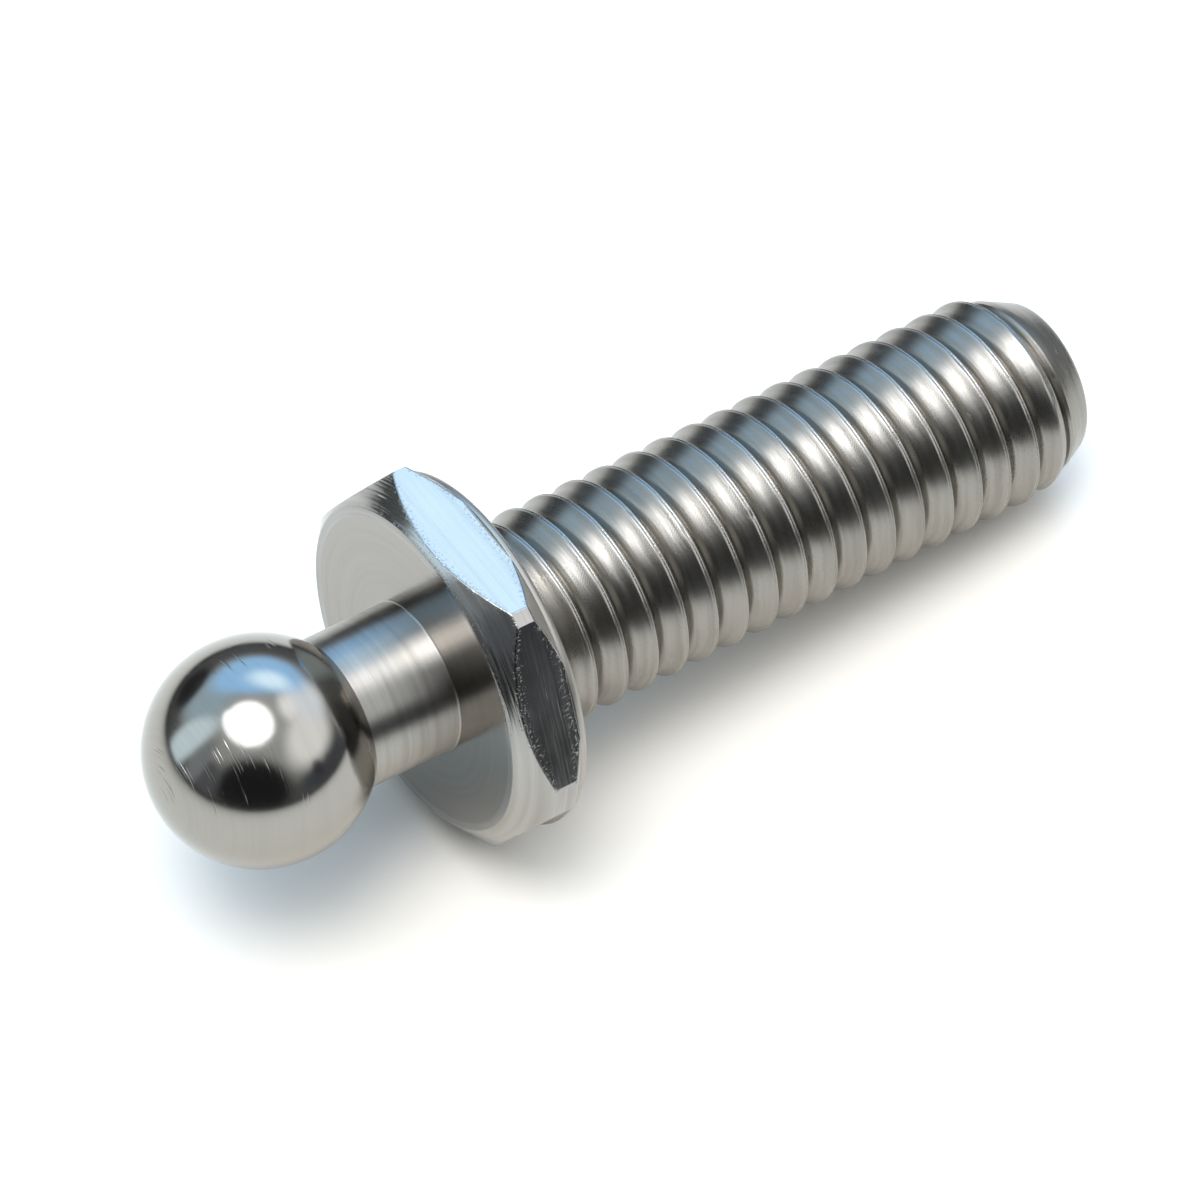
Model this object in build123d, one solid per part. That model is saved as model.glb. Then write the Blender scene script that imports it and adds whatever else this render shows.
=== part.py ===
from build123d import *
import math
import os

# Threaded ball stud: ball, neck, hexagonal flange and threaded shank, one piece of steel.
# It is drawn upright on its own axis, ball centre at the origin, thread upwards and
# one flat of the hexagon facing +X. It is then laid down as it comes to rest on a floor,
# on the round washer face behind that flat and on the last full turn of the thread.
# Lengths are in mm, angles in degrees.

# Ball and neck
ball_dia = 10.0
neck_dia = 6.9
neck_fillet = 0.2            # small radius where the neck runs into the flange
face_height = 7.85           # ball centre to the front face of the flange

# Hexagonal flange
across_flats = 16.0
flange_thick = 3.3
front_circle_dia = 15.0      # turned circle where the front chamfer begins
front_chamfer_angle = 40.0   # between the chamfer and the face
corner_circle_dia = 17.9     # turned circle that takes off the sharp corners
turning_offset = 0.3         # the front is turned this far off the hexagon's centre
turning_direction = 141.6    # and in this direction, from the flat that lies down
rear_chamfer_angle = 45.0
washer_face_dia = 16.4       # round seat behind the hexagon
washer_face_thick = 0.4
washer_edge_radius = 0.3     # its rim is rounded where it meets the seat

# Threaded shank, 3/8-16 UNC, right-hand
thread_dia = 9.5
pitch = 1.5875
flank_angle = 30.0
thread_length = 30.3         # rear face of the flange to the tip
first_crest = 1.63           # rear face to the first crest, on the floor side
tip_dia = 7.2
tip_taper = 2.5              # length over which the tip is turned down

# Derived
thread_depth = 0.6134 * pitch
crest_flat = pitch / 8
thread_r = thread_dia / 2
root_r = thread_r - thread_depth
runout_r = thread_r - thread_depth / 2
runout_turns = 2             # turns over which the root reaches its full depth
rail_steps = 24              # points that define one turn of the helix
flat_r = across_flats / 2
corner_r = flat_r / math.cos(math.radians(30))
washer_r = washer_face_dia / 2
rear_height = face_height + flange_thick
seat_height = rear_height - washer_face_thick
tip_height = rear_height + thread_length


def turned(*points):
    """Solid of revolution about Z from its half section, given as (radius, height)."""
    section = make_face(Plane.XZ * Polyline(*points, close=True))
    return revolve(section, Axis.Z)


def make_ball_and_neck():
    """The neck meets the ball at a sharp circle and the flange at a small radius."""
    side = neck_dia / 2
    low = face_height - neck_fillet
    section = (
        Polyline((side, low), (0, low), (0, rear_height), (side + neck_fillet, rear_height))
        + Line((side + neck_fillet, rear_height), (side + neck_fillet, face_height))
        + RadiusArc((side, low), (side + neck_fillet, face_height), neck_fillet)
    )
    foot = revolve(make_face(Plane.XZ * section), Axis.Z)
    neck = Cylinder(side, low, align=(Align.CENTER, Align.CENTER, Align.MIN))
    return Sphere(ball_dia / 2) + neck + foot


def make_flange():
    """Hexagon on a round washer face, cut by turned cones that curve the edges of the flats.

    The front cone and the circle that takes off the corners share one offset centre."""
    outline = RegularPolygon(flat_r, 6, major_radius=False, rotation=30)
    hexagon = extrude(Pos(0, 0, face_height) * outline, flange_thick - washer_face_thick)
    slope = math.tan(math.radians(front_chamfer_angle))
    front_drop = (corner_circle_dia - front_circle_dia) / 2 * slope
    front = turned(
        (0, face_height),
        (front_circle_dia / 2, face_height),
        (corner_circle_dia / 2, face_height + front_drop),
        (corner_circle_dia / 2, seat_height),
        (0, seat_height),
    )
    side = turning_offset * math.cos(math.radians(turning_direction))
    up = turning_offset * math.sin(math.radians(turning_direction))
    reach = corner_r + 0.5
    rear = turned(
        (0, face_height),
        (reach, face_height),
        (reach, seat_height - (reach - washer_r) * math.tan(math.radians(rear_chamfer_angle))),
        (washer_r, seat_height),
        (0, seat_height),
    )
    seat = Pos(0, 0, seat_height) * Cylinder(
        washer_r, washer_face_thick, align=(Align.CENTER, Align.CENTER, Align.MIN)
    )
    seat = fillet(seat.edges().group_by(Axis.Z)[-1], washer_edge_radius)
    return (hexagon & (Pos(side, up, 0) * front) & rear) + seat


def thread_form(turn):
    """Root start, root end, crest start and crest end of one ridge, as (radius, height).

    The root is shallower over the runout beside the flange."""
    crest = rear_height + first_crest + (turn - 2) * pitch
    part = min(max((turn - 1) / runout_turns, 0), 1)
    radius = runout_r + part * (root_r - runout_r)
    run = (thread_r - radius) * math.tan(math.radians(flank_angle))
    return [
        (radius, crest - pitch + crest_flat / 2 + run),
        (radius, crest - crest_flat / 2 - run),
        (thread_r, crest - crest_flat / 2),
        (thread_r, crest + crest_flat / 2),
    ]


def rail(start, end):
    """One turn of a helix from +X round to +X again, between two (radius, height) points."""
    points = []
    for i in range(rail_steps + 1):
        part = i / rail_steps
        radius = start[0] + part * (end[0] - start[0])
        angle = 2 * math.pi * part
        height = start[1] + part * (end[1] - start[1])
        points.append(Vector(radius * math.cos(angle), radius * math.sin(angle), height))
    points[-1] = Vector(end[0], 0, end[1])
    return Edge.make_spline(points)


def make_rod():
    """Threaded rod sewn from ruled bands, longer than the shank at both ends."""
    turns = math.ceil((thread_length - first_crest) / pitch) + 4
    forms = [thread_form(turn) for turn in range(turns + 2)]
    rails = [[rail(p, q) for p, q in zip(low, high)] for low, high in zip(forms, forms[1:])]
    faces = []
    for turn in range(turns):
        lines = rails[turn] + [rails[turn + 1][0]]
        faces += [Face.make_surface_from_curves(low, high) for low, high in zip(lines, lines[1:])]
    for turn in (0, turns):
        bottom = forms[turn][0][1]
        top = forms[turn + 1][0][1]
        axis = Edge.make_line((0, 0, bottom), (0, 0, top))
        faces.append(Face.make_surface_from_curves(axis, rails[turn][0]))
        outline = [(0, bottom)] + forms[turn] + [forms[turn + 1][0], (0, top)]
        faces.append(Face(Wire.make_polygon([(r, 0, z) for r, z in outline], close=True)))
    return Solid(Shell(faces))


def make_shank():
    """The rod between the rear face of the flange and the tapered tip."""
    reach = thread_r + 0.5
    drop = tip_taper * (reach - tip_dia / 2) / (thread_r - tip_dia / 2)
    envelope = turned(
        (0, rear_height),
        (reach, rear_height),
        (reach, tip_height - drop),
        (tip_dia / 2, tip_height),
        (0, tip_height),
    )
    return make_rod() & envelope


def rest_angle():
    """Dip of the axis, and the height of the ball's centre, when the stud lies on a floor.

    The floor touches the rounded rim of the washer face and the far edge of a crest."""
    last = rear_height + first_crest
    while last + pitch + crest_flat / 2 <= tip_height - tip_taper:
        last += pitch
    across = washer_r - washer_edge_radius - thread_r
    along = last + crest_flat / 2 - rear_height + washer_edge_radius
    reach = math.hypot(across, along)
    dip = math.acos(-washer_edge_radius / reach) - math.atan2(along, across)
    lift = (washer_r - washer_edge_radius) * math.cos(dip) + washer_edge_radius
    lift += (rear_height - washer_edge_radius) * math.sin(dip)
    return math.degrees(dip), lift


def make_stud():
    stud = make_ball_and_neck() + make_flange() + make_shank()
    dip, lift = rest_angle()
    angle = math.radians(dip)
    front = -ball_dia / 2
    back = tip_height * math.cos(angle) + tip_dia / 2 * math.sin(angle)
    return Pos(-(front + back) / 2, 0, lift) * Rot(0, 90 + dip, 0) * stud


os.makedirs("parts", exist_ok=True)
export_step(make_stud(), "parts/ball_stud.step")
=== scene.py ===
# Threaded ball stud of stainless steel, lying on a pale floor.
# The whole stud is one turned and rolled piece, so it is one closed surface here.
# Its own frame: Z along its axis from the ball to the tip, X towards the floor, in mm.
import math
import bpy
import numpy as np
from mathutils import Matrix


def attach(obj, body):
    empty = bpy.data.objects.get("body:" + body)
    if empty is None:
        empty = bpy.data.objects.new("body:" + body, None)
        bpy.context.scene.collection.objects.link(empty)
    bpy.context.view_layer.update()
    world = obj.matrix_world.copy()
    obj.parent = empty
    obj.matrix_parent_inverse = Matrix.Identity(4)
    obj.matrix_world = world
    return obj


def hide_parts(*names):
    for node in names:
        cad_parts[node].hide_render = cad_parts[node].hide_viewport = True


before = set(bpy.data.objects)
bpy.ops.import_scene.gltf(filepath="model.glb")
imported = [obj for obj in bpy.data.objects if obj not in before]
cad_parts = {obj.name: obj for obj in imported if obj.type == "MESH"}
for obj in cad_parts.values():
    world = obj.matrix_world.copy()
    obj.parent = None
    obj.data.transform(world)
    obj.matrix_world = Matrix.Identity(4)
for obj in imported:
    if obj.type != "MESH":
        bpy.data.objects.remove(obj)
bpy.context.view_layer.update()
print("stage: frame loaded")


# The stud's own sizes, in mm and degrees
stud = {
    "ballCad": 5.0,
    "ballRadius": 4.996,         # a hair inside the CAD ball
    "neckRadius": 3.45,
    "neckFillet": 0.07,
    "faceHeight": 7.85,          # ball centre to the front face of the flange
    "flatRadius": 8.0,           # half of 16 across flats
    "frontCircle": 7.5,
    "chamferAngle": 40.0,
    "cornerCircle": 8.95,
    "turningOffset": 0.3,        # the front is turned off the hexagon's centre
    "turningDirection": 141.6,
    "washerRadius": 8.2,
    "washerThick": 0.4,
    "flangeThick": 3.3,
    "threadRadius": 4.75,        # 3/8-16 UNC
    "pitch": 1.5875,
    "threadLength": 30.3,
    "firstCrest": 1.63,
    "tipRadius": 3.6,
    "tipTaper": 2.5,
    "edgeRound": 0.05,           # the hexagon's edges, broken by tumbling
    "washerRound": 0.3,
    "tipRound": 0.32,
    "tipLean": 0.12,             # how far that rounding starts inwards
    "crestGroove": 0.022,        # depth and width of the seam that rolling leaves along the crest
    "grooveWidth": 0.022,
    "sideSlope": 0.78,           # lean of the thread's front side at the crest, rise over run
    "sideBend": 0.545,           # how fast that lean flattens towards the root, per mm
    "rootDepth": 0.74,           # crest to the bottom of the narrow root
    "lowest": 2.0,               # crest to a level that the root's far side never goes below
    "runoutTurns": 2.0,          # turns over which the root reaches its full depth
    "runoutEnd": 3.2,            # turn where that has ended
    "blends": {"root": 0.02, "sides": 0.03, "crest": 0.015, "runout": 0.05, "tip": 0.06},
    "ballRows": 40,
    "arcColumns": 11,            # columns in each 20 degrees
    "besideEdge": (0.28, 0.8),   # degrees from a hexagon edge to the columns next to it
    "narrowCorner": 2.0,         # degrees below which a turned corner has two columns
    "faceSteps": (0, 0.3, 0.65, 0.9),
    "endSteps": (0.93, 0.6, 0.3, 0.0),
    "sharpAngle": 32.0,
    "crestWear": 0.11,           # how far wear reaches from the crest line
}
rearHeight = stud["faceHeight"] + stud["flangeThick"]
seatHeight = rearHeight - stud["washerThick"]
tipHeight = rearHeight + stud["threadLength"]


# Rest pose: the floor touches the washer face's rounded rim and the last full crest of the
# thread. It is the line through the crest's far edge that is tangent to the rim's round.
def restPose(s):
    crestHalf, rim = s["pitch"] / 16, s["washerRound"]
    last = rearHeight + s["firstCrest"]
    turns = math.floor((tipHeight - s["tipTaper"] - crestHalf - last) / s["pitch"])
    last += turns * s["pitch"]
    across = s["washerRadius"] - rim - s["threadRadius"]
    along = last + crestHalf - rearHeight + rim
    dip = math.acos(-rim / math.hypot(across, along)) - math.atan2(along, across)
    lift = (s["washerRadius"] - rim) * math.cos(dip) + rim + (rearHeight - rim) * math.sin(dip)
    back = tipHeight * math.cos(dip) + s["tipRadius"] * math.sin(dip)
    return dip, lift, -(back - s["ballCad"]) / 2


dip, lift, shift = restPose(stud)
studAxis = np.array([math.cos(dip), 0.0, -math.sin(dip)])
ballCentre = np.array([shift, 0.0, lift]) / 1000


# Angles round the axis. Each hexagon edge has columns just beside it and none on it,
# so that it comes out as a small rounded edge.
def columnAngles(s):
    off = s["turningOffset"] * np.array([math.cos(math.radians(s["turningDirection"])),
                                         math.sin(math.radians(s["turningDirection"]))])
    edges = []
    for k in range(6):
        a = math.radians(60 * k)
        n = np.array([math.cos(a), math.sin(a)])
        t = np.array([-n[1], n[0]])
        half = math.sqrt(s["cornerCircle"] ** 2 - (s["flatRadius"] - off @ n) ** 2)
        corner = s["flatRadius"] * math.tan(math.radians(30))
        for side in (-1, 1):
            along = min(max(off @ t + side * half, -corner), corner)
            edges.append(a + math.atan2(along, s["flatRadius"]))
    edges = np.sort(np.mod(edges, 2 * math.pi))
    edges = np.append(edges, edges[0] + 2 * math.pi)
    beside = np.radians(s["besideEdge"])
    parts = []
    for low, high in zip(edges[:-1], edges[1:]):
        gap = high - low
        if gap < math.radians(s["narrowCorner"]):
            parts.append(low + gap * np.array([0.3, 0.7]))
            continue
        count = max(3, round(math.degrees(gap) / 60 * 3 * s["arcColumns"]))
        inner = np.linspace(low + beside[1], high - beside[1], count)
        parts.append(np.concatenate([[low + beside[0]], inner, [high - beside[0]]]))
    phi = np.unique(np.round(np.mod(np.concatenate(parts), 2 * math.pi), 7))
    return np.concatenate([[0.0], phi[(phi > 1e-3) & (phi < 2 * math.pi - 1e-3)], [2 * math.pi]])


phi = columnAngles(stud)
flatPhi = np.mod(phi + math.pi / 6, math.pi / 3) - math.pi / 6   # from the nearest flat's middle


# Radius of a circle off the axis: the ray from the axis meets it at o.n + root(R2 - (o x n)2)
def offsetCircle(radius, angle):
    turn = angle - math.radians(stud["turningDirection"])
    return (stud["turningOffset"] * np.cos(turn)
            + np.sqrt(radius ** 2 - (stud["turningOffset"] * np.sin(turn)) ** 2))


frontRim = offsetCircle(stud["frontCircle"], phi)
cornerRim = offsetCircle(stud["cornerCircle"], phi)
flatRim = stud["flatRadius"] / np.cos(flatPhi)
sideRadius = np.minimum(flatRim, cornerRim)
onCorner = flatRim > cornerRim


# Height of the front cone at a point of radius r: face height plus the distance out from
# the turned circle, measured from the turning centre, times the tangent of the chamfer angle
def coneHeight(r):
    turn = phi - math.radians(stud["turningDirection"])
    off, slope = stud["turningOffset"], math.tan(math.radians(stud["chamferAngle"]))
    out = np.sqrt(r ** 2 + off ** 2 - 2 * r * off * np.cos(turn))
    return stud["faceHeight"] + (out - stud["frontCircle"]) * slope


# The lower or the higher of two surfaces, with a round of about width k where they meet:
# k times the logarithm of the sum of both exponentials
def smoothMin(a, b, k):
    return -k * np.logaddexp(-a / k, -b / k)


def smoothMax(a, b, k):
    return k * np.logaddexp(a / k, b / k)


# Radius of the threaded shank at height z and angle a. With f the distance along the axis
# past the crest line, which climbs one pitch per turn: a land of an eighth of the pitch, a
# 30 degree flank down to a narrow root, and from there the hollow, satin side that faces the
# ball. That side falls from the next crest by its slope at the crest times the distance, less
# half the bend times the distance squared. The root is shallower beside the flange, and a
# cone cuts the crests at the tip.
def threadRadiusAt(z, a):
    p, outer, blends = stud["pitch"], stud["threadRadius"], stud["blends"]
    rise = (z - rearHeight - stud["firstCrest"]) / p - a / (2 * math.pi)
    past = (rise - np.floor(rise)) * p
    ahead = np.maximum(p - past - p / 16, 0)
    steep = outer - (past - p / 16) * math.sqrt(3)
    root = outer - 2 * stud["rootDepth"] + (past - p / 16) * math.sqrt(3)
    hollow = outer - stud["sideSlope"] * ahead + stud["sideBend"] / 2 * ahead ** 2
    hollow = smoothMin(hollow, np.maximum(root, outer - stud["lowest"]), blends["root"])
    f = np.minimum(past, p - past)
    land = outer - stud["crestGroove"] * np.exp(-(f / stud["grooveWidth"]) ** 2)
    body = smoothMin(smoothMax(steep, hollow, blends["sides"]), land, blends["crest"])
    turn = (z - rearHeight - stud["firstCrest"]) / p + 2
    run = np.clip((turn - 1) / stud["runoutTurns"], 0, 1)
    floor = outer - stud["rootDepth"] * (0.5 + 0.5 * run)
    body = np.where(turn < stud["runoutEnd"], smoothMax(body, floor, blends["runout"]), body)
    cone = stud["tipRadius"] + (tipHeight - z) / stud["tipTaper"] * (outer - stud["tipRadius"])
    return smoothMin(body, cone, blends["tip"])


# Points that round a corner b between a and c, as an arc from a little before b to a little
# after it, with one more point on each side that keeps the neighbouring faces flat. The arc is
# a quadratic curve whose middle point weighs the cosine of half the turn.
def roundCorner(a, b, c, size, steps):
    longest, flatUntil = 0.8, 2.2       # most of a side that a round may take; flat point, in sizes

    def away(end):
        d = end - b
        length = np.maximum(np.hypot(d[0], d[1]), 1e-9)
        return d / length, length
    (toA, lenA), (toC, lenC) = away(a), away(c)
    cutA, cutC = np.minimum(size, longest * lenA), np.minimum(size, longest * lenC)
    start, end = b + toA * cutA, b + toC * cutC
    weight = np.sqrt(np.clip((1 - (toA * toC).sum(0)) / 2, 0, 1))
    t = np.linspace(0, 1, steps + 1)[:, None, None]
    lows, mids, highs = (1 - t) ** 2, 2 * weight * t * (1 - t), t ** 2
    curve = (start * lows + b * mids + end * highs) / (lows + mids + highs)
    before = b + toA * np.minimum(flatUntil * size, 0.7 * cutA + 0.3 * lenA)
    after = b + toC * np.minimum(flatUntil * size, 0.7 * cutC + 0.3 * lenC)
    return np.concatenate([before[None], curve, after[None]])


def ring(r, z):
    return np.stack([np.broadcast_to(r, phi.shape), np.broadcast_to(z, phi.shape)])


# The grid of the whole stud: rows run from the ball's pole over the neck, flange and thread
# to the tip's centre, columns run once round the axis. Each row holds radius and height.
def studRows(s):
    rows, names = [], []

    def put(block, name):
        rows.append(block)
        names.extend([name] * len(block))

    neckStart = math.sqrt(s["ballRadius"] ** 2 - s["neckRadius"] ** 2)
    ballEnd = math.pi - math.asin(s["neckRadius"] / s["ballRadius"])
    lip = 0.02                          # radians between the ball's last two rows
    t = np.append(np.linspace(0, ballEnd - lip, s["ballRows"]), ballEnd)
    ball = [ring(s["ballRadius"] * math.sin(v), -s["ballRadius"] * math.cos(v)) for v in t]
    put(np.stack(ball), "ball")
    filletLow = s["faceHeight"] - s["neckFillet"]
    neck = np.linspace(neckStart + 0.5, filletLow - 0.05, 6)
    for z in np.concatenate([[neckStart + 0.04], neck]):
        put(ring(s["neckRadius"], z)[None], "neck")
    for v in np.radians(np.linspace(0, 90, 6)):
        put(ring(s["neckRadius"] + s["neckFillet"] * (1 - math.cos(v)),
                 filletLow + s["neckFillet"] * math.sin(v))[None], "neck")
    faceInner = s["neckRadius"] + s["neckFillet"] + 0.06
    for w in s["faceSteps"]:
        put(ring(faceInner + w * (frontRim - faceInner), s["faceHeight"])[None], "face")

    corners = [
        ring(s["neckRadius"] + s["neckFillet"], s["faceHeight"]),
        ring(frontRim, s["faceHeight"]),
        ring(sideRadius, coneHeight(sideRadius)),
        ring(sideRadius, seatHeight - np.maximum(sideRadius - s["washerRadius"], 0)),
        ring(s["washerRadius"], seatHeight),
        ring(s["washerRadius"], rearHeight),
        ring(s["threadRadius"], rearHeight),
    ]
    edge = s["edgeRound"]
    sizes = [(edge, 3), (edge, 3), (edge, 3), (edge / 2, 3), (s["washerRound"], 7)]
    labels = ["faceEdge", "frontEdge", "rearEdge", "seatEdge", "washerEdge"]
    fills = ["chamfer", "side", "rearCone", "washer", "rear"]
    bends = [roundCorner(*corners[i:i + 3], size, steps) for i, (size, steps) in enumerate(sizes)]
    for bend, following, label, fill in zip(bends, bends[1:] + [corners[-1:]], labels, fills):
        put(bend, label)
        put((bend[-1] + following[0])[None] / 2, fill)

    # One turn of the thread is 17 rows, close together at the crest's edges and in the root
    p = s["pitch"]
    across = np.array([0, 0.28, 0.55, 0.655, 0.69, 0.725, 0.762, p / 2, 0.826, 0.862,
                       0.897, 0.94, 1.16, 1.22, 1.26, 1.34, 1.43])
    turns = math.ceil(s["threadLength"] / p) + 3
    q = (across[None] + p * np.arange(-3, turns)[:, None]).ravel()
    start = rearHeight + s["firstCrest"] - p / 2
    z = start + q[:, None] + p * phi[None] / (2 * math.pi)
    z = np.clip(z, rearHeight, tipHeight - s["tipRound"])
    r = threadRadiusAt(z, phi[None])
    put(np.stack([r, z], axis=1), "thread")
    rim = threadRadiusAt(tipHeight - s["tipRound"], phi)
    t = np.linspace(0.2, 1, 5)[:, None]
    lows, mids, highs = (1 - t) ** 2, 2 * t * (1 - t), t ** 2
    bend = lows * rim + mids * (rim - s["tipLean"]) + highs * (rim - s["tipRound"])
    up = tipHeight - s["tipRound"] + s["tipRound"] * (1 - lows) + 0 * phi
    put(np.stack([bend, up], axis=1), "tip")
    for w in s["endSteps"]:
        put(ring((rim - s["tipRound"]) * w, tipHeight)[None], "end")
    return np.concatenate(rows), names, len(across)


rows, rowNames, rowsPerTurn = studRows(stud)
print("stage: grid of", rows.shape[0], "rows and", rows.shape[2], "columns")


# Where the crests are dented: turns from the first crest, lengths in turns, depths in mm
dentPlan = {"seed": 7, "count": 60, "place": (-1, 19), "length": (0.004, 0.02),
            "depth": (0.008, 0.035), "across": 0.12}


# Rolled crests carry small dents: each is a shallow bell-shaped dip at a random place along
# the crest line, a few tenths of a millimetre long
def dents(r, z, names, plan):
    rng = np.random.default_rng(plan["seed"])
    isThread = np.array([n == "thread" for n in names])[:, None]
    rise = (z - rearHeight - stud["firstCrest"]) / stud["pitch"] - phi[None] / (2 * math.pi)
    nearCrest = np.exp(-((rise - np.round(rise)) * stud["pitch"] / plan["across"]) ** 2) * isThread
    along = np.round(rise) + phi[None] / (2 * math.pi)
    dip = np.zeros_like(r)
    places, lengths, depths = [rng.uniform(*plan[key], plan["count"])
                               for key in ("place", "length", "depth")]
    for place, length, depth in zip(places, lengths, depths):
        dip += depth * np.exp(-((along - place) / length) ** 2)
    return r - dip * nearCrest


rows[:, 0] = dents(rows[:, 0], rows[:, 1], rowNames, dentPlan)


# The finishes, in the order of the mesh's material slots
finishOrder = ["ball", "neck", "face", "chamfer", "flat", "corner", "washer", "thread", "end"]
finishOfRow = {
    "ball": "ball", "neck": "neck", "face": "face", "faceEdge": "chamfer", "chamfer": "chamfer",
    "frontEdge": "chamfer", "side": "flat", "rearEdge": "flat", "rearCone": "washer",
    "seatEdge": "washer", "washer": "washer", "washerEdge": "washer", "rear": "washer",
    "thread": "thread", "tip": "thread", "end": "end",
}


# Own frame to the shared frame: a turn about Y that lays the axis down, then the lift
def toRow(x, y, z):
    c, d = math.cos(dip), math.sin(dip)
    return np.stack([shift - d * x + c * z, y, lift - c * x - d * z], axis=-1) / 1000


# The mesh of the whole grid: each point is its radius and height turned round the axis by its
# column's angle. Rows that meet at one point, as at the poles and the seam, share it.
def buildStud(rows, names):
    r, z = rows[:, 0], rows[:, 1]
    points = toRow(r * np.cos(phi), r * np.sin(phi), z).reshape(-1, 3)
    keys = np.round(points * 1e7).astype(np.int64)      # doubles within a tenth of a micrometre
    _, first, which = np.unique(keys, axis=0, return_index=True, return_inverse=True)
    which = which.ravel()
    count, wide = r.shape
    i, j = np.meshgrid(np.arange(count - 1), np.arange(wide - 1), indexing="ij")
    base = i * wide + j
    corner = np.stack([base, base + 1, base + wide + 1, base + wide], -1)
    tris = np.concatenate([corner[..., [0, 1, 2]], corner[..., [0, 2, 3]]]).reshape(-1, 3)

    # UV in mm. On the thread, u runs along the helix and v across one ridge; elsewhere u runs
    # round the axis and v along the profile.
    name = np.array(names)
    onThread = name == "thread"
    steps = np.hypot(np.diff(r, axis=0), np.diff(z, axis=0))
    length = np.concatenate([np.zeros((1, wide)), np.cumsum(steps, 0)])
    turn = np.where(onThread, np.cumsum(onThread) - 1, 0)
    quadTurn = (turn[:-1] // rowsPerTurn)[i]
    quadThread = (onThread[:-1] & onThread[1:])[i]
    quadBase = length[np.clip(np.argmax(onThread) + quadTurn * rowsPerTurn, 0, count - 1), j]
    u = (phi[j], phi[j + 1], phi[j + 1], phi[j])
    v = (length[i, j], length[i, j + 1], length[i + 1, j + 1], length[i + 1, j])
    around = stud["threadRadius"]
    uCorner = np.stack([(a + np.where(quadThread, 2 * math.pi * quadTurn, 0)) * around for a in u], -1)
    vCorner = np.stack([np.where(quadThread, b - quadBase, b) for b in v], -1)
    uv = np.stack([uCorner, vCorner], -1)
    uvTris = np.concatenate([uv[..., [0, 1, 2], :], uv[..., [0, 2, 3], :]]).reshape(-1, 3, 2)

    # Which finish each face has: the row decides, and on the sides also flat or corner
    finish = np.array([finishOrder.index(finishOfRow[n]) for n in names[1:]])[i]
    cornerFace = (onCorner[j] & onCorner[j + 1]) & (finish == finishOrder.index("flat"))
    finish = np.where(cornerFace, finishOrder.index("corner"), finish)
    finishTris = np.concatenate([finish, finish]).ravel()

    # Wear is 1 on edges and crests and 0 on open faces
    rise = (z - rearHeight - stud["firstCrest"]) / stud["pitch"] - phi[None] / (2 * math.pi)
    fromCrest = (rise - np.round(rise)) * stud["pitch"]
    crest = np.exp(-(fromCrest / stud["crestWear"]) ** 2) * onThread[:, None]
    edge = np.isin(name, ["frontEdge", "rearEdge", "faceEdge"])[:, None] * 1.0 + 0 * r
    wear = np.maximum(crest, edge).ravel()[first]

    tris = which[tris]
    good = (tris[:, 0] != tris[:, 1]) & (tris[:, 1] != tris[:, 2]) & (tris[:, 2] != tris[:, 0])
    tris, uvTris, finishTris = tris[good], uvTris[good], finishTris[good]

    mesh = bpy.data.meshes.new("stud")
    mesh.vertices.add(len(first))
    mesh.vertices.foreach_set("co", points[first].ravel())
    mesh.loops.add(tris.size)
    mesh.loops.foreach_set("vertex_index", tris.ravel())
    mesh.polygons.add(len(tris))
    mesh.polygons.foreach_set("loop_start", np.arange(0, tris.size, 3))
    mesh.polygons.foreach_set("loop_total", np.full(len(tris), 3))
    mesh.polygons.foreach_set("material_index", finishTris.astype(np.int32))
    mesh.update(calc_edges=True)
    mesh.uv_layers.new(name="lay").data.foreach_set("uv", uvTris.ravel())
    mesh.attributes.new("wear", "FLOAT", "POINT").data.foreach_set("value", wear)
    mesh.polygons.foreach_set("use_smooth", np.ones(len(tris), bool))
    mesh.set_sharp_from_angle(angle=math.radians(stud["sharpAngle"]))
    mesh.validate()
    piece = bpy.data.objects.new("stud", mesh)
    bpy.context.scene.collection.objects.link(piece)
    print("stage: stud mesh,", len(tris), "triangles")
    return piece


studPiece = buildStud(rows, rowNames)


# Colours are written as sRGB hex and turned linear here
def linear(hexColour):
    value = [int(hexColour[i:i + 2], 16) / 255 for i in (1, 3, 5)]
    return [c / 12.92 if c <= 0.04045 else ((c + 0.055) / 1.055) ** 2.4 for c in value] + [1.0]


# Adds one node, sets its properties, and fills or links its inputs
def addNode(tree, kind, inputs=None, **settings):
    node = tree.nodes.new(kind)
    for key, value in settings.items():
        setattr(node, key, value)
    for key, value in (inputs or {}).items():
        if isinstance(value, bpy.types.NodeSocket):
            tree.links.new(value, node.inputs[key])
        else:
            node.inputs[key].default_value = value
    return node


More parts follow.
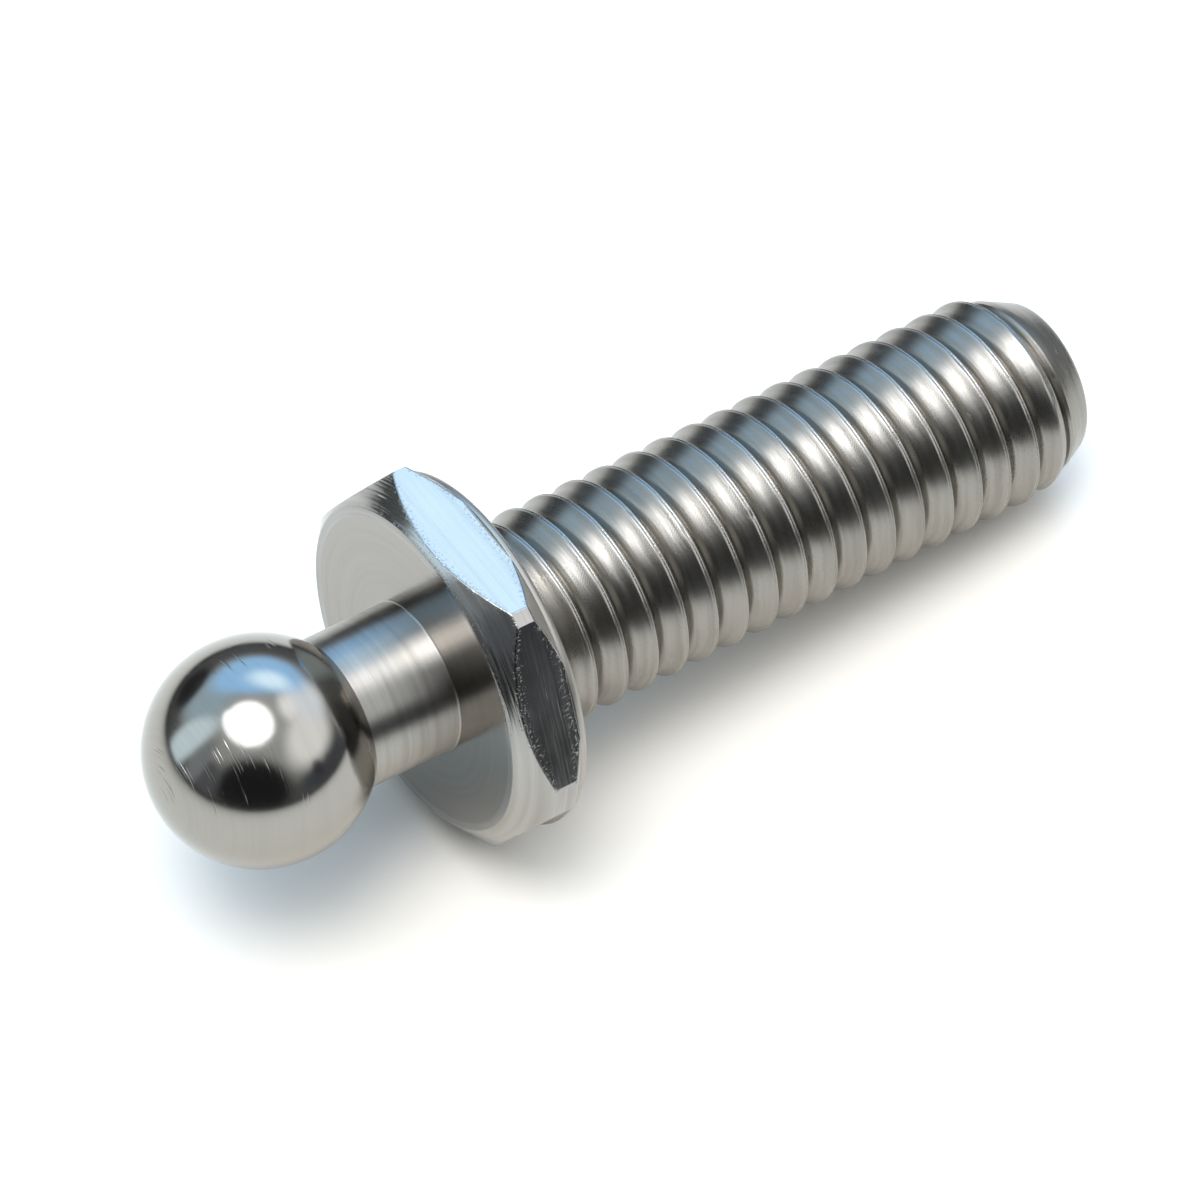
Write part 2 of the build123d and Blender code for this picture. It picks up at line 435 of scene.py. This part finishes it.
# Stainless steel, bare: a slightly warm grey mirror whose fine lines show how each surface
# was made. Lines run round the axis (lay "round"), along the thread (lay "helix") or along the
# flats (lay "across"), lineSpacing mm apart. Real tool lines are some 0.03 mm apart and are
# drawn coarser so that they show. Tilt is how far they lean the surface, in parts of a radian,
# and it is what frays the rim of a highlight. Scratch and nick are depths in parts of 10
# micrometres. Nicks sit where the surface is worn, on crests and hexagon edges, and the higher
# the edge fade, the closer they keep to the edge.
steelLooks = {
    "ball": {
        "title": "stainless steel, lapped ball",       # soft mirror with a few ring scratches
        "base": "#9d9992", "dark": "#9a968f", "roughness": 0.14, "spread": 0.03, "anisotropic": 0.0,
        "lineSpacing": 0.09, "tilt": 0.015, "scratch": 2.2, "nick": 0.0, "edgeFade": 1, "lay": "round",
    },
    "neck": {
        "title": "stainless steel, fine turned neck, painted light",   # streaks that follow the lathe
        # painted light: the neck's base colour is lighter than the ball's and the face's, to stand in for
        # the brighter light on the neck
        "base": "#a8a49e", "dark": "#9c9892", "roughness": 0.38, "spread": 0.04, "anisotropic": 0.93,
        "lineSpacing": 0.09, "tilt": 0.3, "scratch": 0.5, "nick": 0.0, "edgeFade": 1, "lay": "round",
    },
    "face": {
        "title": "stainless steel, faced flange",       # mirrors the neck, faint rings round it
        "base": "#9b9690", "dark": "#96918a", "roughness": 0.17, "spread": 0.04, "anisotropic": 0.6,
        "lineSpacing": 0.07, "tilt": 0.12, "scratch": 0.5, "nick": 0.0, "edgeFade": 1, "lay": "round",
    },
    "chamfer": {
        "title": "stainless steel, turned chamfer",     # long streaks round the flange
        "base": "#a3a19d", "dark": "#93908b", "roughness": 0.18, "spread": 0.05, "anisotropic": 0.5,
        "lineSpacing": 0.12, "tilt": 0.75, "scratch": 1.6, "nick": 0.8, "edgeFade": 5, "lay": "round",
    },
    "flat": {
        "title": "stainless steel, drawn hexagon bar",  # a dull mirror scratched along the bar's die
        "base": "#9f9d9a", "dark": "#979592", "roughness": 0.13, "spread": 0.07, "anisotropic": 0.2,
        "lineSpacing": 0.08, "tilt": 0.07, "scratch": 0.6, "nick": 0.9, "edgeFade": 5, "lay": "across",
    },
    "corner": {
        "title": "stainless steel, turned corners",     # bright, with ragged streaks
        "base": "#a19e9a", "dark": "#928e88", "roughness": 0.17, "spread": 0.05, "anisotropic": 0.4,
        "lineSpacing": 0.12, "tilt": 0.6, "scratch": 0.6, "nick": 0.6, "edgeFade": 8, "lay": "round",
    },
    "washer": {
        "title": "stainless steel, tumbled washer face, painted light",  # dull, little reflection
        # painted light: the washer face's base colour is lighter than the other finishes, to stand in for
        # the light on that band
        "base": "#aaa59d", "dark": "#989289", "roughness": 0.42, "spread": 0.08, "anisotropic": 0.2,
        "lineSpacing": 0.14, "tilt": 0.25, "scratch": 0.3, "nick": 0.3, "edgeFade": 8, "lay": "round",
    },
    "thread": {
        "title": "stainless steel, rolled thread, painted shade",      # satin flanks, scuffed crests
        # painted shade: the thread's base colour is darker than the other finishes, to stand in for the
        # shade under the shank
        "base": "#95918a", "dark": "#86817a", "roughness": 0.29, "spread": 0.04, "anisotropic": 0.15,
        "lineSpacing": 0.10, "tilt": 0.24, "scratch": 0.4, "nick": 0.8, "edgeFade": 2, "lay": "helix",
    },
    "end": {
        "title": "stainless steel, sheared and rolled end",   # dull, torn in the middle
        "base": "#95918a", "dark": "#7e7a73", "roughness": 0.30, "spread": 0.1, "anisotropic": 0.1,
        "lineSpacing": 0.2, "tilt": 0.5, "scratch": 0.4, "nick": 0.3, "edgeFade": 1, "lay": "round",
    },
}


# What the finishes share. A stretch is the noise's cells per mm along the tool's path, and a low
# one draws the lines out. Scales are cells per mm too. Each pair is the noise where a pattern
# starts and where it is full.
steelPattern = {
    "fineStretch": 0.25, "broadStretch": 0.1, "helixFineStretch": 0.35, "helixBroadStretch": 0.12,
    "broadSpacing": 0.28,           # bands to each line
    "lineDetail": 3.0, "lineRoughness": 0.65, "bandDetail": 2.0, "tone": (0.42, 0.72),
    "cloudScale": 0.33, "cloudDetail": 3.0, "gathered": (0.46, 0.6),
    "scratchStretch": (1.6, 1.6, 0.8), "scratchDetail": 1.0, "scratches": (0.66, 0.76),
    "chipScale": 8.0, "chipDetail": 1.0, "chipRoughness": 0.6, "chips": (0.58, 0.68),
    "gloss": (0.55, 1.5), "reliefStrength": 0.6, "reliefHeight": 0.00001, "acrossLines": 0.25,
}


# One finish of the steel, from its look and the shared pattern
def steelMaterial(look, pattern):
    material = bpy.data.materials.new(look["title"])
    material.use_nodes = True
    tree = material.node_tree
    tree.nodes.clear()

    # Object coordinates to the stud's own frame in mm: scaled, turned back up, ball centre at 0
    turn = math.pi / 2 + dip
    c, d = math.cos(dip), math.sin(dip)
    ownX = -d * shift - c * lift
    ownZ = c * shift - d * lift
    coord = addNode(tree, "ShaderNodeTexCoord").outputs["Object"]
    own = addNode(tree, "ShaderNodeMapping", {
        "Vector": coord, "Scale": (1000, 1000, 1000), "Rotation": (0, -turn, 0),
        "Location": (-ownX, 0, -ownZ)}).outputs["Vector"]
    part = addNode(tree, "ShaderNodeSeparateXYZ", {"Vector": own})
    across = addNode(tree, "ShaderNodeVectorMath", {0: own, 1: (1, 1, 0)}, operation="MULTIPLY")
    radius = addNode(tree, "ShaderNodeVectorMath", {0: across.outputs[0]}, operation="LENGTH")
    reach = addNode(tree, "ShaderNodeMath", {0: radius.outputs["Value"], 1: part.outputs["Z"]},
                    operation="ADD").outputs[0]

    # Lines: noise drawn out many times along the tool's path, fine ones and broad bands
    lineScale = 1 / look["lineSpacing"]
    bandScale = pattern["broadSpacing"] / look["lineSpacing"]
    if look["lay"] == "helix":
        place = addNode(tree, "ShaderNodeUVMap", uv_map="lay").outputs["UV"]
        fineScale = (pattern["helixFineStretch"], lineScale, 1)
        broadScale = (pattern["helixBroadStretch"], bandScale, 1)
    else:
        level = reach if look["lay"] == "round" else part.outputs["Z"]
        place = addNode(tree, "ShaderNodeCombineXYZ", {
            "X": part.outputs["X"], "Y": part.outputs["Y"], "Z": level}).outputs[0]
        fineScale = (pattern["fineStretch"], pattern["fineStretch"], lineScale)
        broadScale = (pattern["broadStretch"], pattern["broadStretch"], bandScale)
    fine = addNode(tree, "ShaderNodeVectorMath", {0: place, 1: fineScale},
                   operation="MULTIPLY").outputs[0]
    broad = addNode(tree, "ShaderNodeVectorMath", {0: place, 1: broadScale},
                    operation="MULTIPLY").outputs[0]
    lines = addNode(tree, "ShaderNodeTexNoise", {
        "Vector": fine, "Scale": 1.0, "Detail": pattern["lineDetail"],
        "Roughness": pattern["lineRoughness"]}).outputs[0]
    bands = addNode(tree, "ShaderNodeTexNoise", {
        "Vector": broad, "Scale": 1.0, "Detail": pattern["bandDetail"]}).outputs[0]

    # Clouds some 3 mm across: handling film, and the places where scratches gather
    cloud = addNode(tree, "ShaderNodeTexNoise", {
        "Vector": own, "Scale": pattern["cloudScale"], "Detail": pattern["cloudDetail"]}).outputs[0]
    gathered = addNode(tree, "ShaderNodeMapRange", {
        "Value": cloud, "From Min": pattern["gathered"][0], "From Max": pattern["gathered"][1]}).outputs[0]

    # Scratches: the crest of a much longer, thinner noise; nicks: small cells on worn edges
    long = addNode(tree, "ShaderNodeVectorMath", {0: fine, 1: pattern["scratchStretch"]},
                   operation="MULTIPLY").outputs[0]
    scratchNoise = addNode(tree, "ShaderNodeTexNoise", {
        "Vector": long, "Scale": 1.0, "Detail": pattern["scratchDetail"]}).outputs[0]
    scratch = addNode(tree, "ShaderNodeMapRange", {
        "Value": scratchNoise, "From Min": pattern["scratches"][0],
        "From Max": pattern["scratches"][1], "To Max": look["scratch"]}).outputs[0]
    scratch = addNode(tree, "ShaderNodeMath", {0: scratch, 1: gathered}, operation="MULTIPLY").outputs[0]
    worn = addNode(tree, "ShaderNodeAttribute", attribute_name="wear").outputs["Fac"]
    wear = addNode(tree, "ShaderNodeMath", {0: worn, 1: look["edgeFade"]}, operation="POWER").outputs[0]
    chip = addNode(tree, "ShaderNodeTexNoise", {
        "Vector": own, "Scale": pattern["chipScale"], "Detail": pattern["chipDetail"],
        "Roughness": pattern["chipRoughness"]}).outputs[0]
    chipMask = addNode(tree, "ShaderNodeMapRange", {
        "Value": chip, "From Min": pattern["chips"][0], "From Max": pattern["chips"][1],
        "To Max": look["nick"]}).outputs[0]
    nick = addNode(tree, "ShaderNodeMath", {0: wear, 1: chipMask}, operation="MULTIPLY").outputs[0]

    # The film and the lines both vary the gloss
    gloss = addNode(tree, "ShaderNodeMath", {0: cloud, 1: lines}, operation="ADD").outputs[0]
    gloss = addNode(tree, "ShaderNodeMath", {0: gloss, 1: nick}, operation="ADD").outputs[0]
    roughness = addNode(tree, "ShaderNodeMapRange", {
        "Value": gloss, "From Min": pattern["gloss"][0], "From Max": pattern["gloss"][1],
        "To Min": look["roughness"] - look["spread"],
        "To Max": look["roughness"] + look["spread"]}).outputs[0]
    tone = addNode(tree, "ShaderNodeMapRange", {
        "Value": bands, "From Min": pattern["tone"][0], "From Max": pattern["tone"][1]}).outputs[0]
    colour = addNode(tree, "ShaderNodeMix", {
        "Factor": tone, 6: linear(look["base"]), 7: linear(look["dark"])}, data_type="RGBA").outputs[2]

    # The tangent runs round the axis. The lines lean the normal to either side of it, by the
    # noise's distance from its mean, towards the direction that stands across them.
    offset = addNode(tree, "ShaderNodeVectorMath", {0: coord, 1: tuple(ballCentre)},
                     operation="SUBTRACT").outputs[0]
    tangent = addNode(tree, "ShaderNodeVectorMath", {0: tuple(studAxis), 1: offset},
                      operation="CROSS_PRODUCT").outputs[0]
    tangent = addNode(tree, "ShaderNodeVectorMath", {0: tangent}, operation="NORMALIZE").outputs[0]
    normal = addNode(tree, "ShaderNodeNewGeometry").outputs["Normal"]
    beside = addNode(tree, "ShaderNodeVectorMath", {0: normal, 1: tangent},
                     operation="CROSS_PRODUCT").outputs[0]
    lean = addNode(tree, "ShaderNodeMath", {0: lines, 1: look["tilt"], 2: -0.5 * look["tilt"]},
                   operation="MULTIPLY_ADD").outputs[0]
    leaned = addNode(tree, "ShaderNodeVectorMath", {0: beside, "Scale": lean}, operation="SCALE").outputs[0]
    leaned = addNode(tree, "ShaderNodeVectorMath", {0: normal, 1: leaned}, operation="ADD").outputs[0]
    leaned = addNode(tree, "ShaderNodeVectorMath", {0: leaned}, operation="NORMALIZE").outputs[0]

    # Relief: scratches cut in, nicks pressed in
    height = addNode(tree, "ShaderNodeMath", {0: scratch, 1: nick}, operation="ADD").outputs[0]
    bump = addNode(tree, "ShaderNodeBump", {
        "Height": height, "Strength": pattern["reliefStrength"], "Distance": pattern["reliefHeight"],
        "Normal": leaned}, invert=True).outputs[0]
    shader = addNode(tree, "ShaderNodeBsdfPrincipled", {
        "Base Color": colour, "Metallic": 1.0, "Roughness": roughness, "Normal": bump,
        "Anisotropic": look["anisotropic"], "Anisotropic Rotation": pattern["acrossLines"],
        "Tangent": tangent})
    addNode(tree, "ShaderNodeOutputMaterial", {"Surface": shader.outputs[0]})
    return material


for finish in finishOrder:
    studPiece.data.materials.append(steelMaterial(steelLooks[finish], steelPattern))
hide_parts("ball_stud")
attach(studPiece, "root")
print("stage: stud dressed")


# Pale matt board under the stud. Its colour fades to near black far out: painted shade, an unlit far floor
# that the steel shows in its low reflections.
board = {
    "half": 1.2,
    "base": "#ede7dd",
    # painted shade: the near-black colour that the far floor is painted
    "far": "#1c1b1a",
    "paleTo": 0.04,
    "paintedShadeFrom": 0.20,
    "roughness": 0.75,
    "gloss": 0.1,
    "grain": 1.5,                   # mm; a card's real grain is finer and wouldn't show
    "grainDetail": 2.0,
    "reliefStrength": 0.05,
    "reliefHeight": 0.00002,
}


def buildBoard():
    h = board["half"]
    mesh = bpy.data.meshes.new("board")
    mesh.from_pydata([(-h, -h, 0), (h, -h, 0), (h, h, 0), (-h, h, 0)], [], [(0, 1, 2, 3)])
    piece = bpy.data.objects.new("board", mesh)
    bpy.context.scene.collection.objects.link(piece)
    material = bpy.data.materials.new("matt white card, painted dark far out")
    material.use_nodes = True
    tree = material.node_tree
    tree.nodes.clear()
    coord = addNode(tree, "ShaderNodeTexCoord").outputs["Object"]
    grain = addNode(tree, "ShaderNodeTexNoise", {
        "Vector": coord, "Scale": 1000 / board["grain"], "Detail": board["grainDetail"]}).outputs[0]
    bump = addNode(tree, "ShaderNodeBump", {
        "Height": grain, "Strength": board["reliefStrength"], "Distance": board["reliefHeight"]}).outputs[0]
    out = addNode(tree, "ShaderNodeVectorMath", {0: coord}, operation="LENGTH").outputs["Value"]
    # painted shade: the colour goes from the pale base to the near-black far colour with distance out
    fade = addNode(tree, "ShaderNodeMapRange", {
        "Value": out, "From Min": board["paleTo"], "From Max": board["paintedShadeFrom"]},
        interpolation_type="SMOOTHSTEP").outputs[0]
    colour = addNode(tree, "ShaderNodeMix", {
        "Factor": fade, 6: linear(board["base"]), 7: linear(board["far"])}, data_type="RGBA").outputs[2]
    shader = addNode(tree, "ShaderNodeBsdfPrincipled", {
        "Base Color": colour, "Roughness": board["roughness"], "Normal": bump,
        "Specular IOR Level": board["gloss"]})
    addNode(tree, "ShaderNodeOutputMaterial", {"Surface": shader.outputs[0]})
    mesh.materials.append(material)


buildBoard()


# The studio is painted on the world sphere: a grey room with soft sheets and dark gaps, each
# an ellipse with a blurred rim. "at" is azimuth, from +X towards +Y, and elevation; "size" is
# half its width and height, all in degrees; rim is the blurred part of the radius, and glow the
# light it sends. A step of the room is the sine of an elevation and the light there.
room = {
    "steps": [(0.0, 0.15), (0.2, 0.2), (0.33, 0.42), (0.5, 0.62), (0.8, 0.72), (0.94, 0.82), (1.0, 0.85)],
    "tint": (0.94, 1.0, 1.05),
}
studioPatches = [
    {"name": "camera side", "at": (-128, 18), "size": (46, 38), "rim": 0.35, "glow": (0.025, 0.025, 0.028)},
    {"name": "left gap", "at": (-173, 16), "size": (15, 24), "rim": 0.6, "glow": (0.18, 0.2, 0.23)},
    {"name": "gap by the strip", "at": (171, 22), "size": (11, 34), "rim": 0.5, "glow": (0.42, 0.47, 0.52)},
    {"name": "pale corner", "at": (117, 38), "size": (31, 32), "rim": 0.6, "glow": (0.72, 0.98, 1.2)},
    {"name": "gap at the back", "at": (103, 13), "size": (22, 16), "rim": 0.5, "glow": (0.04, 0.04, 0.045)},
    {"name": "low grey", "at": (-56, 8), "size": (36, 14), "rim": 0.5, "glow": (0.1, 0.115, 0.145)},
    {"name": "grey sheet", "at": (-45, 38), "size": (42, 29), "rim": 0.55, "glow": (1.8, 1.88, 1.96)},
    {"name": "pale sheet", "at": (0, 41), "size": (28, 26), "rim": 0.6, "glow": (1.7, 1.9, 2.15)},
    {"name": "blue sheet", "at": (57, 43), "size": (46, 29), "rim": 0.4, "glow": (0.75, 1.42, 2.35)},
    {"name": "its bright part", "at": (42, 49), "size": (26, 16), "rim": 0.8, "glow": (1.95, 2.65, 3.3)},
    {"name": "its bright top", "at": (-10, 60), "size": (20, 13), "rim": 0.8, "glow": (2.1, 2.2, 2.35)},
    {"name": "side strip", "at": (148, 22), "size": (16, 46), "rim": 0.5, "glow": (1.35, 1.7, 1.95)},
    {"name": "dark blot", "at": (-62, 14), "size": (8, 10), "rim": 0.7, "glow": (0.06, 0.06, 0.07)},
    {"name": "small dark blot", "at": (-49, 9), "size": (5, 8), "rim": 0.7, "glow": (0.12, 0.12, 0.13)},
    {"name": "overhead's flap", "at": (162, 66), "size": (17, 9), "rim": 0.2, "glow": (3.4, 3.6, 3.9)},
    {"name": "overhead", "at": (-165, 80), "size": (26, 24), "rim": 0.15, "glow": (3.4, 3.6, 3.9)},
    {"name": "overhead's lamp", "at": (-166, 80), "size": (16, 15), "rim": 0.25, "glow": (9.4, 9.5, 9.7)},
]


def paintRoom():
    world = bpy.data.worlds.new("studio")
    bpy.context.scene.world = world
    world.use_nodes = True
    tree = world.node_tree
    tree.nodes.clear()
    way = addNode(tree, "ShaderNodeTexCoord").outputs["Generated"]
    high = addNode(tree, "ShaderNodeSeparateXYZ", {"Vector": way}).outputs["Z"]
    ramp = addNode(tree, "ShaderNodeValToRGB", {"Fac": high})
    while len(ramp.color_ramp.elements) < len(room["steps"]):
        ramp.color_ramp.elements.new(0.5)
    for element, (place, light) in zip(ramp.color_ramp.elements, room["steps"]):
        element.position = place
        element.color = [light * t for t in room["tint"]] + [1.0]
    colour = ramp.outputs[0]
    for patch in studioPatches:
        a, e = np.radians(patch["at"])
        middle = (math.cos(e) * math.cos(a), math.cos(e) * math.sin(a), math.sin(e))
        halfWide, halfHigh = np.sin(np.radians(patch["size"]))
        turned = addNode(tree, "ShaderNodeMapping", {
            "Vector": way, "Location": middle, "Rotation": (0, -e, a),
            "Scale": (1.0, halfWide, halfHigh)}, vector_type="TEXTURE").outputs[0]
        inside = addNode(tree, "ShaderNodeTexGradient", {"Vector": turned},
                         gradient_type="SPHERICAL").outputs[1]
        mask = addNode(tree, "ShaderNodeMapRange", {
            "Value": inside, "From Min": 0.0, "From Max": patch["rim"]},
            interpolation_type="SMOOTHSTEP").outputs[0]
        colour = addNode(tree, "ShaderNodeMix", {"Factor": mask, 6: colour, 7: (*patch["glow"], 1.0)},
                         data_type="RGBA").outputs[2]
    backdrop = addNode(tree, "ShaderNodeBackground", {"Color": colour})
    addNode(tree, "ShaderNodeOutputWorld", {"Surface": backdrop.outputs[0]})


paintRoom()
bpy.context.scene.view_settings.view_transform = "Standard"
print("stage: board and studio")


# Camera at the photograph's viewing angle; the image is 1200 x 1200
view = {
    "location": (-0.09229949, -0.13500958, 0.23843877),
    "rotation": (35.3231, -0.1633, -34.9799),
    "lens": 196.734,
    "sensor": 36.0,
    "nearest": 0.01,
    "shift": (-0.06205, -0.02278),
}
camera = bpy.data.objects.new("camera", bpy.data.cameras.new("camera"))
camera.data.lens = view["lens"]
camera.data.sensor_width = view["sensor"]
camera.data.shift_x, camera.data.shift_y = view["shift"]
camera.data.clip_start = view["nearest"]
camera.location = view["location"]
camera.rotation_euler = [math.radians(v) for v in view["rotation"]]
bpy.context.scene.collection.objects.link(camera)
bpy.context.scene.camera = camera
